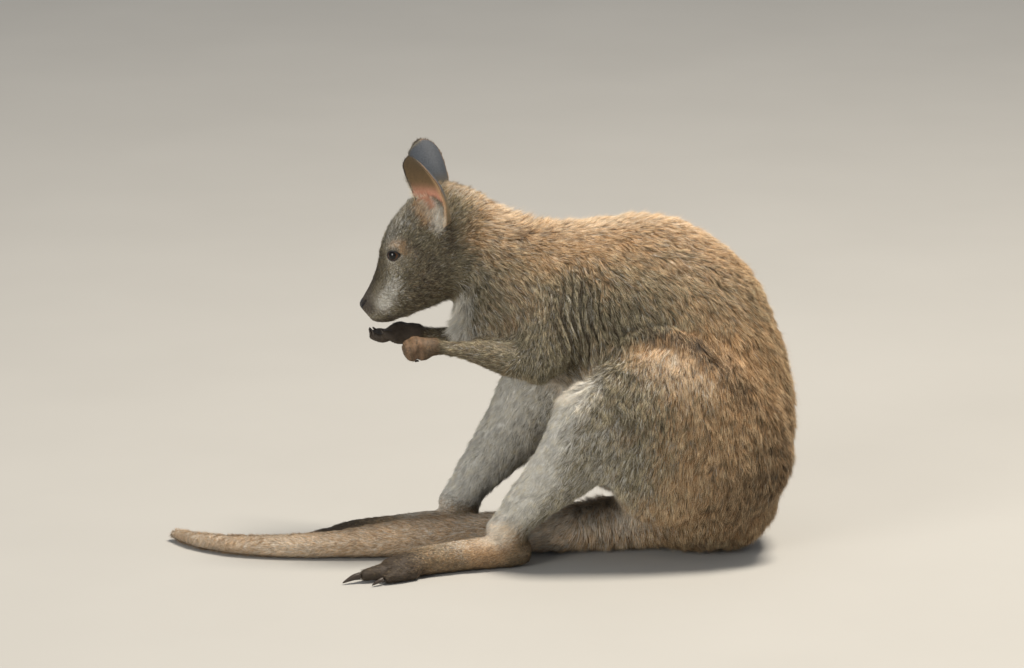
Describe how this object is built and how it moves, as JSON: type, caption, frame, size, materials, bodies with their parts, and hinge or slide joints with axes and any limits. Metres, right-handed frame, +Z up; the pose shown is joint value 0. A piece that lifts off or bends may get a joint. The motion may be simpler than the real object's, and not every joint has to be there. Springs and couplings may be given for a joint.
{
  "type": "sitting red-necked wallaby",
  "caption": "Life-size still model of a red-necked wallaby sitting on its rump, tail passed forward between the hind legs, forepaws raised to its mouth.",
  "frame": {"origin": "on the floor, below the middle of the whole outline's box", "axes": "+Z up, -Y the way the nose and the tail tip point, +X the animal's left side"},
  "size_m": [0.2593, 0.7139, 0.4721],
  "materials": {
    "fur_back": "warm brown ticked fur of the back, shoulders and thighs",
    "fur_grey": "pale grey fur of the limbs and tail",
    "fur_head": "grizzled dark grey-brown fur of the head and neck",
    "fur_dark": "short black-brown fur of the paws",
    "ear": "thin short-haired skin, dark outside and pink inside",
    "nose": "bare moist black skin",
    "eye": "wet dark brown eyeball",
    "claw": "smooth black horn"
  },
  "bodies": {
    "root": {"head": "fur_head", "neck": "fur_head", "nose": "nose", "ear_left": "ear", "eye_left": "eye", "ear_right": "ear", "eye_right": "eye", "chest": "fur_back", "loin": "fur_back", "rump": "fur_back", "tail_root": "fur_grey", "tail_middle": "fur_grey", "tail_tip": "fur_grey", "upper_arm_left": "fur_back", "forearm_left": "fur_grey", "hand_left": "fur_dark", "thigh_left": "fur_back", "shank_left": "fur_grey", "foot_left": "fur_dark", "claw_fourth_left": "claw", "claw_fifth_left": "claw", "claw_second_left": "claw", "claw_third_left": "claw", "claw_finger_1_left": "claw", "claw_finger_2_left": "claw", "claw_finger_3_left": "claw", "claw_finger_4_left": "claw", "claw_finger_5_left": "claw", "upper_arm_right": "fur_back", "forearm_right": "fur_grey", "hand_right": "fur_dark", "thigh_right": "fur_back", "shank_right": "fur_grey", "foot_right": "fur_dark", "claw_fourth_right": "claw", "claw_fifth_right": "claw", "claw_second_right": "claw", "claw_third_right": "claw", "claw_finger_1_right": "claw", "claw_finger_2_right": "claw", "claw_finger_3_right": "claw", "claw_finger_4_right": "claw", "claw_finger_5_right": "claw"}
  },
  "joints": []
}
